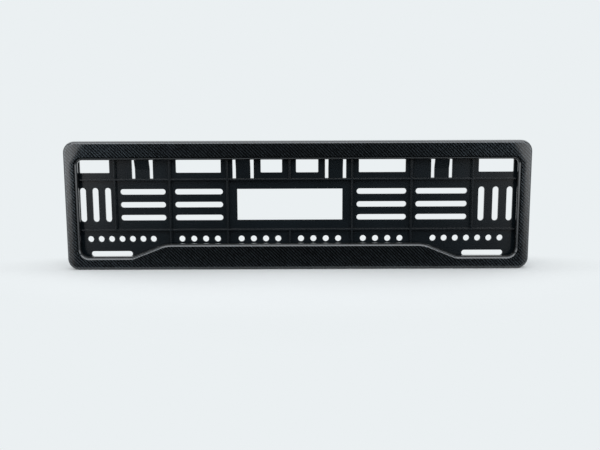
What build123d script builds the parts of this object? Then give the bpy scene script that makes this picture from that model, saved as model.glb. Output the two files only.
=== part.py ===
from build123d import *
import os

# Number plate holder for a 520 x 112 mm plate: a front frame with a rolled lip, snapped over
# a slotted back plate. X is the width, Z is up, the face looks along -Y, and the origin is
# the centre of the outer box. Depths are measured back from the face. Millimetres.

# Plate that the holder carries, and the play left round it
plate_width = 520.0
plate_height = 112.0
plate_thickness = 1.0
plate_play = 0.8
plate_slack = 0.2

# Width of plate that the places along X below are given for: they stretch with plate_width
grid_plate_width = 520.0

# Front frame, outside: how far it reaches beyond the plate on each side
side_reach = 6.0
top_reach = 15.0
bottom_reach = 21.0
thickness = 15.0
corner_radius = 13.0
edge_radius = 3.5
wall = 2.4
face_wall = 2.4

# Window in the frame, at the edge of its lip: how far it laps over the plate
side_overlap = 9.5
top_overlap = 6.5
sill_overlap = 9.2
ear_drop = 6.0
mid_sill_left = -153.0
mid_sill_right = 145.5
slope_run_left = 40.0
slope_run_right = 38.5
top_corner_radius = 5.0
ear_corner_radius = 9.0
ear_bend_radius = 8.0
sill_bend_radius = 40.0
lip_round = 4.0
lip_foot = 1.4
land_width = 6.0

# Back plate
fit_clearance = 0.3
back_recess = 1.8
base_thickness = 2.4
rim_thickness = 1.6

# Ribs of the back plate
rib_thickness = 1.4
row_middle_z = 0.6
row_half_height = 29.1
outer_ribs_x = (-210.0, 200.6)
long_ribs_x = (-147.0, -81.0, 62.5, 130.5)
middle_rib_x = -9.3

# Openings of the middle row
cell_slot_width = 6.4
cell_slot_pitch = 15.0
cell_slot_margin = 5.4
cell_slot_count = 3
centre_margin = 11.1
centre_height = 36.0
end_slot_width = 7.0
end_slot_length = 39.5
end_slots_x = (-247.8, -233.4, -218.9, 211.7, 228.1, 244.3)

# Openings of the top row
top_opening_low_z = 37.5
top_opening_high_z = 56.0
top_opening_corner = 1.0
top_openings_x = (
    (-250.4, -216.3),
    (-140.0, -88.4),
    (-42.5, -18.0),
    (-1.9, 23.5),
    (70.3, 124.0),
    (207.9, 248.0),
)

# Spring tongues in the top row
tongues_x = (-178.4, -62.7, 43.5, 165.3)
tongue_width = 16.8
tongue_slot = 3.7
tongue_thickness = 2.0
tongue_root_gap = 1.2
tongue_flat = 11.0
tongue_tip_rise = 0.8
tongue_lip_gap = 0.4

# Round screw holes below the lower rib: first and last hole of each row
hole_diameter = 7.0
hole_row_z = -39.3
end_rows_x = ((-240.8, -167.9), (156.6, 234.6))
end_row_count = 7
inner_rows_x = ((-134.6, -93.2), (-65.6, -23.0), (3.5, 46.7), (75.5, 118.1))
inner_row_count = 4

# Long slots in the two ears
ear_slot_width = 6.4
ear_slot_length = 48.0
ear_slot_z = -56.8
ear_slots_x = (-216.8, 214.5)

# Snap beads inside the frame, behind the back plate
bead_length = 24.0
bead_reach = 0.9
bead_height = 0.9
bead_gap = 0.1
long_bead_pitch = 96.0
long_bead_count = 5
side_bead_pitch = 64.0
side_bead_count = 2

# Worked out from the driving sizes
stretch = plate_width / grid_plate_width
width = plate_width + 2 * side_reach
height = plate_height + top_reach + bottom_reach
plate_bottom_z = bottom_reach - height / 2
plate_top_z = plate_bottom_z + plate_height
window_half_width = plate_width / 2 - side_overlap
window_top_z = plate_top_z - top_overlap
mid_sill_z = plate_bottom_z + sill_overlap
ear_sill_z = plate_bottom_z - ear_drop
sill_left = mid_sill_left * stretch
sill_right = mid_sill_right * stretch
lip_depth = lip_round + lip_foot
cavity_width = width - 2 * wall
cavity_height = height - 2 * wall
base_width = cavity_width - 2 * fit_clearance
base_height = cavity_height - 2 * fit_clearance
base_corner = corner_radius - wall - fit_clearance
base_back = thickness - back_recess
base_depth = base_back - base_thickness
rib_depth = lip_depth + plate_thickness + plate_slack
rib_height = base_depth - rib_depth
stop_z = plate_top_z + plate_play
upper_rib_z = row_middle_z + row_half_height
lower_rib_z = row_middle_z - row_half_height
top_opening_height = top_opening_high_z - top_opening_low_z
top_opening_middle_z = (top_opening_high_z + top_opening_low_z) / 2
tongue_root_z = upper_rib_z + tongue_root_gap
tongue_root_y = base_depth + tongue_thickness / 2 - thickness / 2
tongue_tip_y = lip_depth + tongue_lip_gap + tongue_thickness / 2 - thickness / 2


def depth_plane(depth):
    """Drawing plane at a depth behind the face, seen from the front."""
    return Plane.XZ.offset(thickness / 2 - depth)


def span_rectangle(low_x, high_x, low_z, high_z):
    """Rectangle of the active sketch between two corners."""
    with Locations(((low_x + high_x) / 2, (low_z + high_z) / 2)):
        Rectangle(high_x - low_x, high_z - low_z)


def upright_rib(x, low_z, high_z):
    """Upright rib of the active sketch at a place along the grid."""
    half = rib_thickness / 2
    span_rectangle(x * stretch - half, x * stretch + half, low_z, high_z)


# Window of the frame: a rectangle whose sill drops to a lower ear at each end
with BuildSketch() as window:
    with BuildLine():
        FilletPolyline(
            (-window_half_width, window_top_z),
            (window_half_width, window_top_z),
            (window_half_width, ear_sill_z),
            (sill_right + slope_run_right, ear_sill_z),
            (sill_right, mid_sill_z),
            (sill_left, mid_sill_z),
            (sill_left - slope_run_left, ear_sill_z),
            (-window_half_width, ear_sill_z),
            radius=(
                top_corner_radius,
                top_corner_radius,
                ear_corner_radius,
                ear_bend_radius,
                sill_bend_radius,
                sill_bend_radius,
                ear_bend_radius,
                ear_corner_radius,
            ),
            close=True,
        )
    make_face()

# Front frame: a hollow moulding with a rolled lip round the window
with BuildPart() as front_frame:
    with BuildSketch(depth_plane(0)):
        RectangleRounded(width, height, corner_radius)
    extrude(amount=-thickness)
    face = front_frame.faces().sort_by(Axis.Y)[0]
    fillet(face.outer_wire().edges(), edge_radius)

    # Hollow back, which leaves the face and the outer wall
    with BuildSketch(depth_plane(face_wall)):
        RectangleRounded(cavity_width, cavity_height, corner_radius - wall)
    extrude(amount=-(thickness - face_wall), mode=Mode.SUBTRACT)

    # Thicker land behind the lip, which bears on the plate
    with BuildSketch(depth_plane(face_wall)):
        add(window.sketch)
        offset(amount=land_width, kind=Kind.ARC, mode=Mode.REPLACE)
    extrude(amount=-(lip_depth - face_wall))

    # Window with a rolled lip
    with BuildSketch(depth_plane(0)):
        add(window.sketch)
    extrude(amount=-lip_depth, mode=Mode.SUBTRACT)
    face = front_frame.faces().filter_by(Axis.Y).sort_by(Axis.Y)[0]
    fillet(face.inner_wires()[0].edges(), lip_round)

    # Snap beads along the inside of the outer wall
    with BuildSketch(depth_plane(base_back + bead_gap)):
        for side in (-1, 1):
            reach = bead_reach + wall / 2
            with Locations((0, side * (cavity_height / 2 - bead_reach + reach / 2))):
                with GridLocations(long_bead_pitch, 1, long_bead_count, 1):
                    Rectangle(bead_length, reach)
            with Locations((side * (cavity_width / 2 - bead_reach + reach / 2), 0)):
                with GridLocations(1, side_bead_pitch, 1, side_bead_count):
                    Rectangle(reach, bead_length)
    extrude(amount=-bead_height)

# Back plate: ribs, screw slots and spring tongues on one flat panel
with BuildPart() as back_plate:
    with BuildSketch(depth_plane(base_depth)):
        RectangleRounded(base_width, base_height, base_corner)
    extrude(amount=-base_thickness)

    # Rim that seats against the back of the frame's face
    with BuildSketch(depth_plane(face_wall)):
        RectangleRounded(base_width, base_height, base_corner)
        RectangleRounded(
            base_width - 2 * rim_thickness,
            base_height - 2 * rim_thickness,
            base_corner - rim_thickness,
            mode=Mode.SUBTRACT,
        )
    extrude(amount=-(base_depth - face_wall))

    # Rib grid, with a stop above the plate and a ledge below it
    with BuildSketch(depth_plane(rib_depth)):
        inside = base_width / 2 - rim_thickness
        for z in (upper_rib_z, lower_rib_z):
            span_rectangle(-inside, inside, z - rib_thickness / 2, z + rib_thickness / 2)
        span_rectangle(-inside, inside, stop_z, stop_z + rib_thickness)
        span_rectangle(sill_left, sill_right, plate_bottom_z - rib_thickness, plate_bottom_z)
        for x in outer_ribs_x:
            upright_rib(x, lower_rib_z, stop_z)
        for x in long_ribs_x:
            upright_rib(x, plate_bottom_z, stop_z)
        upright_rib(middle_rib_x, upper_rib_z, stop_z)
        upright_rib(middle_rib_x, plate_bottom_z, lower_rib_z)
    extrude(amount=-rib_height)

    # Slots, holes and rectangles through the panel
    with BuildSketch(depth_plane(base_depth)):
        cells = (
            (outer_ribs_x[0], long_ribs_x[0]),
            (long_ribs_x[0], long_ribs_x[1]),
            (long_ribs_x[2], long_ribs_x[3]),
            (long_ribs_x[3], outer_ribs_x[1]),
        )
        for low, high in cells:
            with Locations(((low + high) / 2 * stretch, row_middle_z)):
                with GridLocations(1, cell_slot_pitch, 1, cell_slot_count):
                    SlotOverall((high - low) * stretch - 2 * cell_slot_margin, cell_slot_width)
        span_rectangle(
            long_ribs_x[1] * stretch + centre_margin,
            long_ribs_x[2] * stretch - centre_margin,
            row_middle_z - centre_height / 2,
            row_middle_z + centre_height / 2,
        )
        with Locations(*[(x * stretch, row_middle_z) for x in end_slots_x]):
            SlotOverall(end_slot_length, end_slot_width, rotation=90)
        for rows_x, count in ((end_rows_x, end_row_count), (inner_rows_x, inner_row_count)):
            for first, last in rows_x:
                with Locations(((first + last) / 2 * stretch, hole_row_z)):
                    with GridLocations((last - first) * stretch / (count - 1), 1, count, 1):
                        Circle(hole_diameter / 2)
        with Locations(*[(x * stretch, ear_slot_z) for x in ear_slots_x]):
            SlotOverall(ear_slot_length, ear_slot_width)
        for low, high in top_openings_x:
            with Locations(((low + high) / 2 * stretch, top_opening_middle_z)):
                RectangleRounded((high - low) * stretch, top_opening_height, top_opening_corner)
        for x in tongues_x:
            reach = tongue_width / 2 + tongue_slot
            low, high = x * stretch - reach, x * stretch + reach
            span_rectangle(low, high, tongue_root_z, top_opening_high_z)
    extrude(amount=-base_thickness, mode=Mode.SUBTRACT)

    # Spring tongues: flush with the panel at the root, then bent forward to press on the plate
    for x in tongues_x:
        with BuildSketch(Plane.YZ.offset(x * stretch)):
            with BuildLine():
                spine = Polyline(
                    (tongue_root_y, upper_rib_z),
                    (tongue_root_y, tongue_root_z + tongue_flat),
                    (tongue_tip_y, window_top_z + tongue_tip_rise),
                )
                offset(spine, amount=tongue_thickness / 2, side=Side.BOTH)
            make_face()
        extrude(amount=tongue_width / 2, both=True)

os.makedirs("parts", exist_ok=True)
front_frame.part.label = "front_frame"
export_step(front_frame.part, "parts/front_frame.step")
back_plate.part.label = "back_plate"
export_step(back_plate.part, "parts/back_plate.step")
print("front_frame", front_frame.part.volume, "back_plate", back_plate.part.volume)
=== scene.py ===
# %% [markdown]
# # Dressing a number plate holder
#
# The holder is two plastic mouldings: a glossy front frame with a carbon-look print, and the
# satin black back plate that it snaps over. Their solids come from CAD and already have the
# right shape, so this lesson keeps both meshes and gives them a camera, light and surfaces.
# Everything is in metres, in the frame of the CAD model: X is the width, Z is up and the face
# looks along -Y.

# %% Load the solids
import math

import bmesh
import bpy
from mathutils import Matrix, Vector


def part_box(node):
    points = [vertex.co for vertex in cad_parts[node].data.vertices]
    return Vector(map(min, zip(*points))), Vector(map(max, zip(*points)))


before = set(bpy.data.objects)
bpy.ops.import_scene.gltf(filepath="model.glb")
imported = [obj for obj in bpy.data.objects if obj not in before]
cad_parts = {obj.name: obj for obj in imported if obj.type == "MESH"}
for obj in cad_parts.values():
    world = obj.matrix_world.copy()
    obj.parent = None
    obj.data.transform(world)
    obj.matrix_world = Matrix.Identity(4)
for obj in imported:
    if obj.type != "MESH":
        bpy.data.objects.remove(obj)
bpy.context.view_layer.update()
MM = 0.001

frame_low, frame_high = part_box("front_frame")
base_low, base_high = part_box("back_plate")
face_y = frame_low.y
floor_z = frame_low.z
scene = bpy.context.scene
print("frame, mm:", [round(v / MM, 1) for v in frame_high - frame_low])
print("back plate, mm:", [round(v / MM, 1) for v in base_high - base_low])

# %% [markdown]
# ## The camera
#
# A photograph of a flat thing gives its own camera away: the four corners and the rows of slots
# fix how far off it was, how much it looked down and how long its lens was. A camera could be
# moved by eye until it fits, but the numbers from those points are surer, so they are set here.
# The small roll is that of a camera on an uneven tripod.

# %% Place the camera
PICTURE_WIDTH = 600
FOCAL_PIXELS = 740
SENSOR_MM = 36.0
CAMERA_BACK = 838.6 * MM
CAMERA_ABOVE_TOP = 28.0 * MM
CAMERA_ASIDE = 2.4 * MM
PITCH_DOWN = math.radians(8.413)
ROLL = math.radians(-0.218)

camera_data = bpy.data.cameras.new("camera")
camera_data.sensor_width = SENSOR_MM
camera_data.lens = SENSOR_MM * FOCAL_PIXELS / PICTURE_WIDTH
camera_data.dof.use_dof = False
camera = bpy.data.objects.new("camera", camera_data)
scene.collection.objects.link(camera)
camera_place = Vector((CAMERA_ASIDE, face_y - CAMERA_BACK, frame_high.z + CAMERA_ABOVE_TOP))
look = Matrix.Rotation(math.pi / 2 - PITCH_DOWN, 4, "X") @ Matrix.Rotation(ROLL, 4, "Z")
camera.matrix_world = Matrix.Translation(camera_place) @ look
scene.camera = camera
print("lens, mm:", round(camera_data.lens, 1), "at", [round(v, 3) for v in camera_place])

# %% [markdown]
# ## Colours and nodes
#
# Colours are written as they look on a screen, in sRGB hex, and one function turns them into the
# linear values that Blender's shaders want. A second small function adds any node with its
# settings and links, so that each material below reads as a list of what it is made of.

# %% Colour and node helpers
def linear(hex_colour):
    """Linear RGBA of an sRGB hex colour."""
    parts = [int(hex_colour[i:i + 2], 16) / 255 for i in (1, 3, 5)]
    return [c / 12.92 if c <= 0.04045 else ((c + 0.055) / 1.055) ** 2.4 for c in parts] + [1.0]


def node(tree, kind, inputs=None, **settings):
    """One node with its settings. An input is a value, a socket, or a node's first output."""
    made = tree.nodes.new(kind)
    for name, value in settings.items():
        setattr(made, name, value)
    for name, value in (inputs or {}).items():
        if isinstance(value, bpy.types.Node):
            tree.links.new(value.outputs[0], made.inputs[name])
        elif isinstance(value, bpy.types.NodeSocket):
            tree.links.new(value, made.inputs[name])
        else:
            made.inputs[name].default_value = value
    return made


def new_material(name):
    """An empty material, its node tree and its output node."""
    made = bpy.data.materials.new(name)
    made.use_nodes = True
    made.node_tree.nodes.clear()
    return made, made.node_tree, node(made.node_tree, "ShaderNodeOutputMaterial")


print("mid grey as linear:", [round(c, 3) for c in linear("#808080")[:3]])

# %% [markdown]
# ## The sheet it stands on
#
# The holder stands on a sheet of white paper that lies flat behind it and hangs down over the
# front edge of the table, just ahead of its foot. A plane with a Bevel modifier would do, but a
# bmesh from a single edge shows how a section grows: the edge is pulled back along the table,
# and on the other side it is rolled down round the table's edge.

# %% Build the sheet
SHEET_HALF_WIDTH = 1.6
SHEET_DEPTH = 2.0
TABLE_FRONT = -0.01
TABLE_EDGE_RADIUS = 0.10
ROLL_STEPS = 24
WELD = 0.1 * MM

sheet_shape = bmesh.new()
ends = [sheet_shape.verts.new((side * SHEET_HALF_WIDTH, TABLE_FRONT, floor_z)) for side in (-1, 1)]
start_edge = sheet_shape.edges.new(ends)
flat = bmesh.ops.extrude_edge_only(sheet_shape, edges=[start_edge])["geom"]
far_corners = [v for v in flat if isinstance(v, bmesh.types.BMVert)]
bmesh.ops.translate(sheet_shape, vec=(0, SHEET_DEPTH, 0), verts=far_corners)
bmesh.ops.spin(
    sheet_shape,
    geom=ends + [start_edge],
    cent=(0, TABLE_FRONT, floor_z - TABLE_EDGE_RADIUS),
    axis=(1, 0, 0),
    angle=math.pi / 2,
    steps=ROLL_STEPS,
)
bmesh.ops.remove_doubles(sheet_shape, verts=sheet_shape.verts, dist=WELD)
bmesh.ops.recalc_face_normals(sheet_shape, faces=sheet_shape.faces)
sheet_mesh = bpy.data.meshes.new("paper_sheet")
sheet_shape.to_mesh(sheet_mesh)
sheet_shape.free()
for polygon in sheet_mesh.polygons:
    polygon.use_smooth = True
sheet_object = bpy.data.objects.new("paper_sheet", sheet_mesh)
scene.collection.objects.link(sheet_object)
print("sheet faces:", len(sheet_mesh.polygons))

# %% [markdown]
# ## Paper
#
# Matt white paper scatters light evenly and mirrors next to nothing. Lit by lamps alone, a wide
# sheet shades from white to grey, and more light to even it out would fall on the holder too. So
# only an oval round the foot of the holder is lit paper, which takes its shadow. Further out the
# sheet passes over into one even pale tone for the camera and for reflections.

# %% Make the paper
PAPER = linear("#c8ccce")
EVEN_TONE = linear("#ebf0f2")
OVAL = (0.42, 0.11)
OVAL_BACK = 0.005
OVAL_FADE = (0.5, 1.0)
paper, tree, output = new_material("matt_white_paper")
lit_paper = node(tree, "ShaderNodeBsdfPrincipled", {"Base Color": PAPER, "Roughness": 0.9})
even_paper = node(tree, "ShaderNodeEmission", {"Color": EVEN_TONE, "Strength": 1.0})
place = node(tree, "ShaderNodeTexCoord").outputs["Object"]
oval = node(
    tree,
    "ShaderNodeMapping",
    {
        "Vector": place,
        "Location": (0, -OVAL_BACK / OVAL[1], 0),
        "Scale": (1 / OVAL[0], 1 / OVAL[1], 0),
    },
)
reach = node(tree, "ShaderNodeVectorMath", {0: oval}, operation="LENGTH")
away = node(
    tree,
    "ShaderNodeMapRange",
    {"Value": reach.outputs["Value"], "From Min": OVAL_FADE[0], "From Max": OVAL_FADE[1]},
    interpolation_type="SMOOTHSTEP",
)
path = node(tree, "ShaderNodeLightPath").outputs
looked_at = node(
    tree,
    "ShaderNodeMath",
    {0: path["Is Camera Ray"], 1: path["Is Glossy Ray"]},
    operation="MAXIMUM",
)
seen = node(
    tree, "ShaderNodeMath", {0: looked_at, 1: path["Is Transmission Ray"]}, operation="MAXIMUM"
)
evenness = node(tree, "ShaderNodeMath", {0: away, 1: seen}, operation="MULTIPLY")
sheet = node(tree, "ShaderNodeMixShader", {0: evenness, 1: lit_paper, 2: even_paper})
tree.links.new(sheet.outputs["Shader"], output.inputs["Surface"])
sheet_mesh.materials.append(paper)
print("paper, linear:", [round(c, 2) for c in PAPER[:3]])

# %% [markdown]
# ## Light
#
# Black gloss plastic is seen mostly by what it mirrors. A wide softbox high in front draws the
# light line along the top edge and along the rolled sill of the window, and a weaker one
# overhead lights the top and the paper. Straight ahead there is nothing, so the flat of the face
# mirrors the dark and its print shows. Lamps could be given by their watts, but what a gloss
# surface shows is how bright a lamp looks, so each is given as that.

# %% Set the lamps
def softbox(name, place, aim, size, brightness):
    """A rectangular lamp that faces a point and looks as bright as asked."""
    data = bpy.data.lights.new(name, "AREA")
    data.shape = "RECTANGLE"
    data.size, data.size_y = size
    data.energy = math.pi * brightness * size[0] * size[1]
    made = bpy.data.objects.new(name, data)
    made.location = place
    made.rotation_euler = (Vector(aim) - Vector(place)).to_track_quat("-Z", "Y").to_euler()
    scene.collection.objects.link(made)
    print(name, "watts:", round(data.energy, 1))
    return data


# The overhead box is aimed a hair off straight down, which settles which way its width lies.
softbox("overhead", place=(0, 0.15, 0.85), aim=(0, 0.151, 0), size=(2.4, 1.2), brightness=1.3)
softbox("high_front", place=(0, -1.35, 1.15), aim=(0, 0, 0), size=(2.3, 1.2), brightness=3.4)

# %% [markdown]
# ## The side boxes
#
# A low softbox on each side draws the light ends of the border and the line down each side of
# the window. Each box reaches from just ahead of the holder to past the camera. How far it
# reaches sets how wide the light end of the border is, so it is fitted to a centimetre.

# %% Set the side boxes
SIDE_X = 0.62
SIDE_BACK = -0.10
SIDE_LOW, SIDE_HIGH = -0.38, 0.35
NOSE = 0.20
# Name, side, where the front edge is at the foot, and brightness.
SIDE_BOXES = (("left_side", -1, -1.17, 2.5), ("right_side", 1, -1.19, 2.1))
side_z = (SIDE_LOW + SIDE_HIGH) / 2
side_lamps = []
for name, side, front, brightness in SIDE_BOXES:
    side_y = (front - NOSE + SIDE_BACK) / 2
    lamp = softbox(
        name,
        place=(side * SIDE_X, side_y, side_z),
        aim=(0, side_y, side_z),
        size=(SIDE_BACK - front + NOSE, SIDE_HIGH - SIDE_LOW),
        brightness=brightness,
    )
    side_lamps.append((lamp, front))

# %% [markdown]
# ## Grading the side boxes
#
# The bulb of a side box sits high and to the rear, so the box dims towards its foot and towards
# its front. From about a third of the way up the holder, its front edge leans forwards. That
# makes the light ends of the border fade downwards and widen round the upper corners. Several
# lamps would show as steps, so nodes grade a single one: the Position output of a Geometry node
# says from where on the lamp the light starts.

# %% Grade the side boxes
LEAN_FROM = -0.026
LEAN = 2.4
FULL_ABOVE = -0.05
GRADE_TILT = 0.10
FRONT_FADE = (-0.08, 0.04)
TIP_SHARE = 0.45
for lamp, front in side_lamps:
    lamp.use_nodes = True
    tree = lamp.node_tree
    tree.nodes.clear()
    spot = node(tree, "ShaderNodeNewGeometry").outputs["Position"]
    # Dimmer towards the foot, and a little sooner towards the rear.
    grade = node(
        tree, "ShaderNodeVectorMath", {0: spot, 1: (0, -GRADE_TILT, 1)}, operation="DOT_PRODUCT"
    )
    foot_share = node(
        tree,
        "ShaderNodeMapRange",
        {
            "Value": grade.outputs["Value"],
            "From Min": SIDE_LOW - GRADE_TILT * front,
            "From Max": FULL_ABOVE - GRADE_TILT * front,
        },
    )
    # Dimmer towards the front.
    where = node(tree, "ShaderNodeSeparateXYZ", {"Vector": spot}).outputs
    front_share = node(
        tree,
        "ShaderNodeMapRange",
        {
            "Value": where["Y"],
            "From Min": front + FRONT_FADE[0],
            "From Max": front + FRONT_FADE[1],
            "To Min": TIP_SHARE,
        },
    )
    # Nothing ahead of the leaning front edge.
    above = node(tree, "ShaderNodeMath", {0: where["Z"], 1: LEAN_FROM}, operation="SUBTRACT")
    rise = node(tree, "ShaderNodeMath", {0: above, 1: 0.0}, operation="MAXIMUM")
    leaned = node(
        tree, "ShaderNodeMath", {0: rise, 1: LEAN, 2: where["Y"]}, operation="MULTIPLY_ADD"
    )
    inside = node(tree, "ShaderNodeMath", {0: leaned, 1: front}, operation="GREATER_THAN")
    graded = node(tree, "ShaderNodeMath", {0: foot_share, 1: front_share}, operation="MULTIPLY")
    strength = node(tree, "ShaderNodeMath", {0: graded, 1: inside}, operation="MULTIPLY")
    glow = node(tree, "ShaderNodeEmission", {"Strength": strength})
    node(tree, "ShaderNodeOutputLight", {"Surface": glow})
print("side boxes lean forwards above", LEAN_FROM, "m")

# %% [markdown]
# ## The room
#
# A studio has a pale backdrop behind the object and a dark room in front of it, and its walls
# give back a little light. One world does for all three: the camera sees the pale tone all
# round, the gloss mirrors it from behind and fading out towards the front, and everything else
# gets the faint light of the walls.

# %% Set the room
WALLS = linear("#c9ced2")
WALL_LIGHT = 0.05
PALE_FADE = (-0.3, 0.2)
world = bpy.data.worlds.new("studio")
scene.world = world
world.use_nodes = True
tree = world.node_tree
tree.nodes.clear()
walls = node(tree, "ShaderNodeBackground", {"Color": WALLS, "Strength": WALL_LIGHT})
backdrop = node(tree, "ShaderNodeBackground", {"Color": EVEN_TONE, "Strength": 1.0})
way = node(tree, "ShaderNodeTexCoord").outputs["Generated"]
heading = node(tree, "ShaderNodeSeparateXYZ", {"Vector": way}).outputs
behind = node(
    tree,
    "ShaderNodeMapRange",
    {"Value": heading["Y"], "From Min": PALE_FADE[0], "From Max": PALE_FADE[1]},
)
path = node(tree, "ShaderNodeLightPath").outputs
mirrored = node(
    tree, "ShaderNodeMath", {0: path["Is Glossy Ray"], 1: behind}, operation="MULTIPLY"
)
straight = node(
    tree,
    "ShaderNodeMath",
    {0: path["Is Camera Ray"], 1: path["Is Transmission Ray"]},
    operation="MAXIMUM",
)
pale = node(tree, "ShaderNodeMath", {0: straight, 1: mirrored}, operation="MAXIMUM")
room = node(tree, "ShaderNodeMixShader", {0: pale, 1: walls, 2: backdrop})
node(tree, "ShaderNodeOutputWorld", {"Surface": room})
scene.view_settings.view_transform = "Standard"
print("light of the walls:", [round(c * WALL_LIGHT, 3) for c in WALLS[:3]])

# %% [markdown]
# ## The twill of the carbon look
#
# The frame is moulded in black ABS, and a printed film with a 2 x 2 twill covers its face. In a
# twill, each band of fibre passes over two bands and under two, one step along in each row, so
# the eye sees slanting lines. An image would have to be unwrapped over every lip, so the weave
# is worked out from the place of each point instead: two whole numbers count the bands across
# and up, and their sum modulo four says which band is on top.

# %% Draw the twill
BAND_MM = 0.98
BANDS_OVER = 2
REPEAT_BANDS = 2 * BANDS_OVER
carbon, tree, output = new_material("carbon_film_on_gloss_abs")
place = node(tree, "ShaderNodeTexCoord").outputs["Object"]
bands = node(
    tree, "ShaderNodeVectorMath", {0: place, "Scale": 1 / (BAND_MM * MM)}, operation="SCALE"
)
whole = node(tree, "ShaderNodeVectorMath", {0: bands}, operation="FLOOR")
count = node(tree, "ShaderNodeVectorMath", {0: whole, 1: (1, 0, 1)}, operation="DOT_PRODUCT")
turn = node(
    tree,
    "ShaderNodeMath",
    {0: count.outputs["Value"], 1: REPEAT_BANDS},
    operation="FLOORED_MODULO",
)
# The turns are whole numbers, so the limit lies half-way between two of them.
upright = node(tree, "ShaderNodeMath", {0: turn, 1: BANDS_OVER - 0.5}, operation="LESS_THAN")
print("bands of", BAND_MM, "mm, which repeat every", REPEAT_BANDS * BAND_MM, "mm")

# %% [markdown]
# ## The fibres
#
# A band is a round bundle of fibres, so it is bright along its middle and dark at its edges. The
# upright bands catch more light than the level ones, and that difference is what makes carbon
# cloth look striped. Real fibres are finer than a hundredth of a millimetre. They are drawn here
# as streaks a quarter of a millimetre wide, because finer ones wouldn't show.

# %% Draw the fibres
LEVEL_SHARE = 0.06
STREAK_MM = 0.25
STREAK_RUN_MM = 8.0
STREAK_LIGHT = (0.55, 1.45)
# One minus four times the square is one along the middle of a band and nought at its edges.
part = node(tree, "ShaderNodeVectorMath", {0: bands}, operation="FRACTION")
centred = node(tree, "ShaderNodeVectorMath", {0: part, 1: (0.5, 0.5, 0.5)}, operation="SUBTRACT")
square = node(tree, "ShaderNodeVectorMath", {0: centred, 1: centred}, operation="MULTIPLY")
rounded = node(
    tree,
    "ShaderNodeVectorMath",
    {0: square, 1: (-4, -4, -4), 2: (1, 1, 1)},
    operation="MULTIPLY_ADD",
)
bundle = node(tree, "ShaderNodeSeparateXYZ", {"Vector": rounded}).outputs
level = node(tree, "ShaderNodeMath", {0: bundle["Z"], 1: LEVEL_SHARE}, operation="MULTIPLY")
weave = node(
    tree, "ShaderNodeMix", {"Factor": upright, "A": level, "B": bundle["X"]}, data_type="FLOAT"
)
across, run = 1 / (STREAK_MM * MM), 1 / (STREAK_RUN_MM * MM)
stretch_up = node(tree, "ShaderNodeMapping", {"Vector": place, "Scale": (across, across, run)})
stretch_along = node(tree, "ShaderNodeMapping", {"Vector": place, "Scale": (run, across, across)})
fibres_up = node(
    tree, "ShaderNodeTexNoise", {"Vector": stretch_up, "Scale": 1.0, "Detail": 1.0}
)
fibres_along = node(
    tree, "ShaderNodeTexNoise", {"Vector": stretch_along, "Scale": 1.0, "Detail": 1.0}
)
fibres = node(
    tree,
    "ShaderNodeMix",
    {"Factor": upright, "A": fibres_along, "B": fibres_up},
    data_type="FLOAT",
)
streak = node(
    tree,
    "ShaderNodeMapRange",
    {"Value": fibres, "To Min": STREAK_LIGHT[0], "To Max": STREAK_LIGHT[1]},
)
streaked = node(tree, "ShaderNodeMath", {0: weave, 1: streak}, operation="MULTIPLY")
print("streaks of", STREAK_MM, "mm, about", round(BAND_MM / STREAK_MM), "to a band")

# %% [markdown]
# ## The floats
#
# The stretch where a band lies on top is called a float. No two floats lie quite alike, so each
# catches a little more or less light than the next, and the slanting lines break up into short
# dashes. A cloudy noise would run over from one float to the next, so white noise is used. It
# turns the count of a float's column and of its repeat of the weave into one chance value.

# %% Let each float catch its own light
FLOAT_LIGHT = (0.5, 1.6)
repeats = node(
    tree, "ShaderNodeMath", {0: count.outputs["Value"], 1: REPEAT_BANDS}, operation="DIVIDE"
)
repeat = node(tree, "ShaderNodeMath", {0: repeats}, operation="FLOOR")
column = node(tree, "ShaderNodeSeparateXYZ", {"Vector": whole}).outputs["X"]
float_count = node(tree, "ShaderNodeCombineXYZ", {"X": column, "Y": repeat})
chance = node(tree, "ShaderNodeTexWhiteNoise", {"Vector": float_count}, noise_dimensions="2D")
float_light = node(
    tree,
    "ShaderNodeMapRange",
    {"Value": chance.outputs["Value"], "To Min": FLOAT_LIGHT[0], "To Max": FLOAT_LIGHT[1]},
)
cloth = node(tree, "ShaderNodeMath", {0: streaked, 1: float_light}, operation="MULTIPLY")
print("floats of", BAND_MM, "by", BANDS_OVER * BAND_MM, "mm")

# %% [markdown]
# ## Where the film ends
#
# The film is laid over the face and drawn a few millimetres round its edges: down the lip of the
# window, and just round the rounded rim. There it is stretched until its bands run together into
# an even grey, so the light lines on the edges are clean. Beyond that the outer walls and the
# back are the plain black moulding. The depth behind the face tells these apart, so no faces
# need picking.

# %% Keep the print to the face
FILM_DEPTH_MM = 6.0
RIM_FILM_DEPTH_MM = 3.6
RIM_ZONE_MM = 8.0
STRETCH_MM = (0.05, 0.4)
STRETCHED_SHARE = 0.85
EVEN_CLOTH = 0.36
point = node(tree, "ShaderNodeSeparateXYZ", {"Vector": place}).outputs
depth = node(tree, "ShaderNodeMath", {0: point["Y"], 1: face_y}, operation="SUBTRACT")
out_x = node(tree, "ShaderNodeMath", {0: point["X"]}, operation="ABSOLUTE")
out_z = node(tree, "ShaderNodeMath", {0: point["Z"]}, operation="ABSOLUTE")
rim_x, rim_z = frame_high.x - RIM_ZONE_MM * MM, frame_high.z - RIM_ZONE_MM * MM
past_x = node(tree, "ShaderNodeMath", {0: out_x, 1: rim_x}, operation="GREATER_THAN")
past_z = node(tree, "ShaderNodeMath", {0: out_z, 1: rim_z}, operation="GREATER_THAN")
rim = node(tree, "ShaderNodeMath", {0: past_x, 1: past_z}, operation="MAXIMUM")
film = node(
    tree,
    "ShaderNodeMix",
    {"Factor": rim, "A": FILM_DEPTH_MM * MM, "B": RIM_FILM_DEPTH_MM * MM},
    data_type="FLOAT",
)
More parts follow.
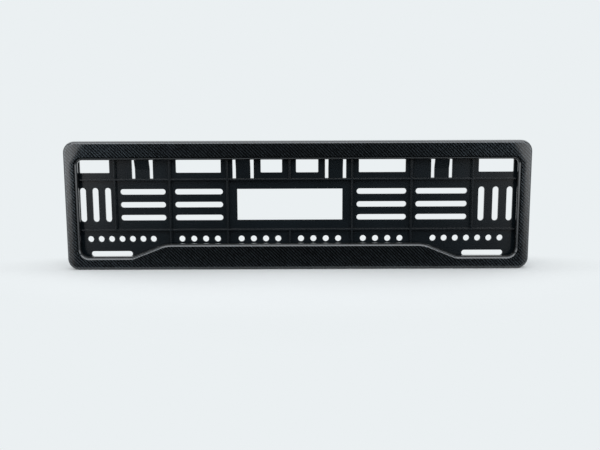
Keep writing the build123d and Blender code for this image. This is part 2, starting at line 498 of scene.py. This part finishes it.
printed = node(tree, "ShaderNodeMath", {0: depth, 1: film}, operation="LESS_THAN")
stretched = node(
    tree,
    "ShaderNodeMapRange",
    {
        "Value": depth,
        "From Min": STRETCH_MM[0] * MM,
        "From Max": STRETCH_MM[1] * MM,
        "To Max": STRETCHED_SHARE,
    },
)
laid = node(
    tree, "ShaderNodeMix", {"Factor": stretched, "A": cloth, "B": EVEN_CLOTH}, data_type="FLOAT"
)
shown = node(tree, "ShaderNodeMath", {0: laid, 1: printed}, operation="MULTIPLY")
print("film:", FILM_DEPTH_MM, "mm down the lip,", RIM_FILM_DEPTH_MM, "mm round the rim")

# %% [markdown]
# ## The gloss of the film
#
# Carbon fibres shine like a dull, dark metal: they are light where they face a lamp and black
# where they don't, and the print copies that. Over them lies the smooth clear face of the film,
# which mirrors sharply, so the lamps show in it as clean bands. It follows the moulding with a
# slight wave, called orange peel, that makes those bands waver. Grey paint under gloss would be
# simpler, but it looks the same from every side, so the shader has both layers.

# %% Lay the clear face over the fibres
PEEL_MM = 9.0
PEEL_HEIGHT_MM = 0.1
PEEL_STRENGTH = 0.04
FIBRE_SHEEN = (0.28, 0.40)
peel = node(
    tree, "ShaderNodeTexNoise", {"Vector": place, "Scale": 1 / (PEEL_MM * MM), "Detail": 1.0}
)
wave = node(
    tree,
    "ShaderNodeBump",
    {
        "Strength": PEEL_STRENGTH,
        "Distance": PEEL_HEIGHT_MM * MM,
        "Height": peel.outputs["Fac"],
    },
)
# Near black with a cold cast, which the eye takes for carbon, under fibres of a dull dark grey.
print_colour = node(
    tree,
    "ShaderNodeMix",
    {"Factor": shown, "A": linear("#040506"), "B": linear("#40484e")},
    data_type="RGBA",
)
# Fibres that lie closer together shine a little more sharply than loose ones.
fibre_sheen = node(
    tree,
    "ShaderNodeMapRange",
    {"Value": fibres, "To Min": FIBRE_SHEEN[0], "To Max": FIBRE_SHEEN[1]},
)
# Polyester film has an IOR of about 1.6 and a face that is all but polished.
gloss = node(
    tree,
    "ShaderNodeBsdfPrincipled",
    {
        "Base Color": print_colour.outputs["Result"],
        "Metallic": 1.0,
        "Roughness": fibre_sheen,
        "Coat Weight": 1.0,
        "Coat Roughness": 0.04,
        "Coat IOR": 1.6,
        "Coat Normal": wave,
    },
)
tree.links.new(gloss.outputs["BSDF"], output.inputs["Surface"])
print("peel of", PEEL_MM, "mm in", carbon.name)

# %% [markdown]
# ## Satin black plastic
#
# The back plate is moulded in the same black ABS with no film and no coat. The mould was spark
# eroded, which leaves a fine even grain, and where the melt flowed and met the sheen shifts a
# little. The ribs come out of the mould with their edges just broken, and handling burnishes
# those edges, so they draw thin light lines. Rounding every rib in the mesh would cost many
# faces, so a Bevel node turns the normals near the edges instead, and where it turns them the
# surface is smoother too.

# %% Make the satin plastic
FLOW_MM = 60.0
GRAIN_MM = 0.6
GRAIN_HEIGHT_MM = 0.05
GRAIN_STRENGTH = 0.08
EDGE_MM = 0.45
EDGE_TURN = 0.95
SATIN_SHEEN = (0.22, 0.28)
BURNISHED_SHEEN = 0.12
satin, tree, output = new_material("satin_moulded_abs")
place = node(tree, "ShaderNodeTexCoord").outputs["Object"]
flow = node(
    tree, "ShaderNodeTexNoise", {"Vector": place, "Scale": 1 / (FLOW_MM * MM), "Detail": 3.0}
)
# Real spark grain is about 0.05 mm. It is drawn at 0.6 mm, because finer grain wouldn't show.
grain = node(
    tree, "ShaderNodeTexNoise", {"Vector": place, "Scale": 1 / (GRAIN_MM * MM), "Detail": 2.0}
)
# Black that is a shade lighter and colder where the melt met, which breaks up a flat panel.
tone = node(
    tree,
    "ShaderNodeMix",
    {"Factor": flow.outputs["Fac"], "A": linear("#080d10"), "B": linear("#11181d")},
    data_type="RGBA",
)
sheen = node(
    tree,
    "ShaderNodeMapRange",
    {"Value": flow.outputs["Fac"], "To Min": SATIN_SHEEN[0], "To Max": SATIN_SHEEN[1]},
)
broken_edge = node(tree, "ShaderNodeBevel", {"Radius": EDGE_MM * MM}, samples=6)
flat_normal = node(tree, "ShaderNodeNewGeometry").outputs["Normal"]
likeness = node(
    tree, "ShaderNodeVectorMath", {0: broken_edge, 1: flat_normal}, operation="DOT_PRODUCT"
)
burnished = node(
    tree,
    "ShaderNodeMapRange",
    {"Value": likeness.outputs["Value"], "From Min": 1.0, "From Max": EDGE_TURN},
)
finish = node(
    tree,
    "ShaderNodeMix",
    {"Factor": burnished, "A": sheen, "B": BURNISHED_SHEEN},
    data_type="FLOAT",
)
relief = node(
    tree,
    "ShaderNodeBump",
    {
        "Strength": GRAIN_STRENGTH,
        "Distance": GRAIN_HEIGHT_MM * MM,
        "Height": grain.outputs["Fac"],
        "Normal": broken_edge.outputs["Normal"],
    },
)
# Grained ABS mirrors little: its IOR is about 1.54, and the grain shades a third of what it
# mirrors.
moulded = node(
    tree,
    "ShaderNodeBsdfPrincipled",
    {
        "Base Color": tone.outputs["Result"],
        "Roughness": finish.outputs["Result"],
        "IOR": 1.54,
        "Specular IOR Level": 0.33,
        "Normal": relief,
    },
)
tree.links.new(moulded.outputs["BSDF"], output.inputs["Surface"])
print("grain of", GRAIN_MM, "mm, edges of", EDGE_MM, "mm in", satin.name)

# %% [markdown]
# ## Dress the two mouldings
#
# Both meshes are right as they came, so only the material in each slot changes.

# %% Assign the materials
for name, skin in (("front_frame", carbon), ("back_plate", satin)):
    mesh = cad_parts[name].data
    mesh.materials.clear()
    mesh.materials.append(skin)
    print(name, "has", len(mesh.polygons), "faces of", skin.name)
